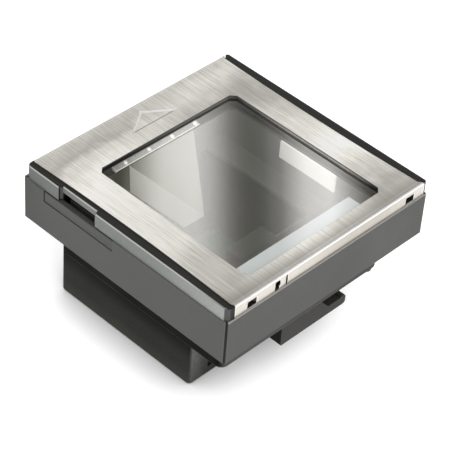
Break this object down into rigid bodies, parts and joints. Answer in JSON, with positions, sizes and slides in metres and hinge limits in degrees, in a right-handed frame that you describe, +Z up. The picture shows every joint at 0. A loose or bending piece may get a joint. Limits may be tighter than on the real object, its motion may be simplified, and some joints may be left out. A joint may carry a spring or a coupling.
{
  "type": "flatbed barcode scanner",
  "caption": "Square in-counter barcode scanner with a lift-off steel and glass top, a shallow body and a deeper housing below that holds the imager.",
  "frame": {"origin": "middle of the square body's footprint, at the level of the lowest face", "axes": "+Z up, +Y away from the operator, +X to the operator's right"},
  "size_m": [0.152, 0.152, 0.097],
  "materials": {
    "steel": "fine brushed grain from front to back",
    "rim_plastic": "fine moulded texture",
    "body_plastic": "fine moulded texture",
    "black_plastic": "matt black moulding",
    "window_glass": "hard coated, glossy",
    "gasket_rubber": "soft matt",
    "label_foil": "silver grey foil, blank",
    "label_paper": "blank printed film",
    "foam": "closed cell foam",
    "spring_steel": "cold rolled strip",
    "reflector": "bright satin",
    "clear_plastic": "smoky, light spreading",
    "diffuser": "white light spreading",
    "led_white": "clear resin",
    "circuit_board": "green solder mask",
    "mirror": "front silvered",
    "zinc_sheet": "bright zinc plate",
    "sensor": "sensor with cover glass",
    "black_metal": "black anodised",
    "chip": "moulded epoxy",
    "port_plastic": "moulded",
    "button_plastic": "fine moulded texture",
    "cable_film": "white film",
    "connector_white": "moulded nylon",
    "screw_steel": "zinc plated"
  },
  "bodies": {
    "base": {"base_tray": "body_plastic", "board_screws": "screw_steel", "button_switch": "port_plastic", "cable_connectors": "connector_white", "cable_hook": "body_plastic", "chassis_screws": "screw_steel", "flat_cable": "cable_film", "fold_mirror": "mirror", "front_lens": "window_glass", "hook_screws": "screw_steel", "host_port": "port_plastic", "housing_screws": "screw_steel", "image_sensor": "sensor", "imager_board": "circuit_board", "imager_bracket": "zinc_sheet", "latch_spring": "spring_steel", "led_board": "circuit_board", "leds": "led_white", "lens_barrel": "black_metal", "lens_holder": "black_plastic", "light_bar": "clear_plastic", "light_panel": "diffuser", "light_reflector": "reflector", "lower_housing": "body_plastic", "main_board": "circuit_board", "main_housing": "body_plastic", "mirror_frame": "black_plastic", "optics_chassis": "black_plastic", "panel_led_board": "circuit_board", "processor_chips": "chip", "rating_label": "label_paper", "service_port": "port_plastic", "shield_can": "zinc_sheet", "speaker": "black_metal", "speaker_gasket": "foam", "tray_screws": "screw_steel", "wake_sensor_cover": "black_plastic", "well_seal": "foam"},
    "cover": {"top_plate": "steel", "cover_bezel": "rim_plastic", "scan_window": "window_glass", "window_gasket": "gasket_rubber", "window_label": "label_foil"},
    "latch": {"cover_latch": "body_plastic"},
    "button": {"push_button": "button_plastic"}
  },
  "joints": [
    {"name": "cover_lift", "type": "slide", "parent": "base", "child": "cover", "axis": [0, 0, 1], "range_m": [0, 0.03]},
    {"name": "latch_press", "type": "slide", "parent": "base", "child": "latch", "axis": [1, 0, 0], "range_m": [0, 0.0015], "stiffness_N_per_m": 800, "springref_m": -0.002, "deforming": ["latch_spring"]},
    {"name": "button_press", "type": "slide", "parent": "base", "child": "button", "axis": [0, 1, 0], "range_m": [0, 0.0008], "stiffness_N_per_m": 1500, "springref_m": -0.0004}
  ]
}
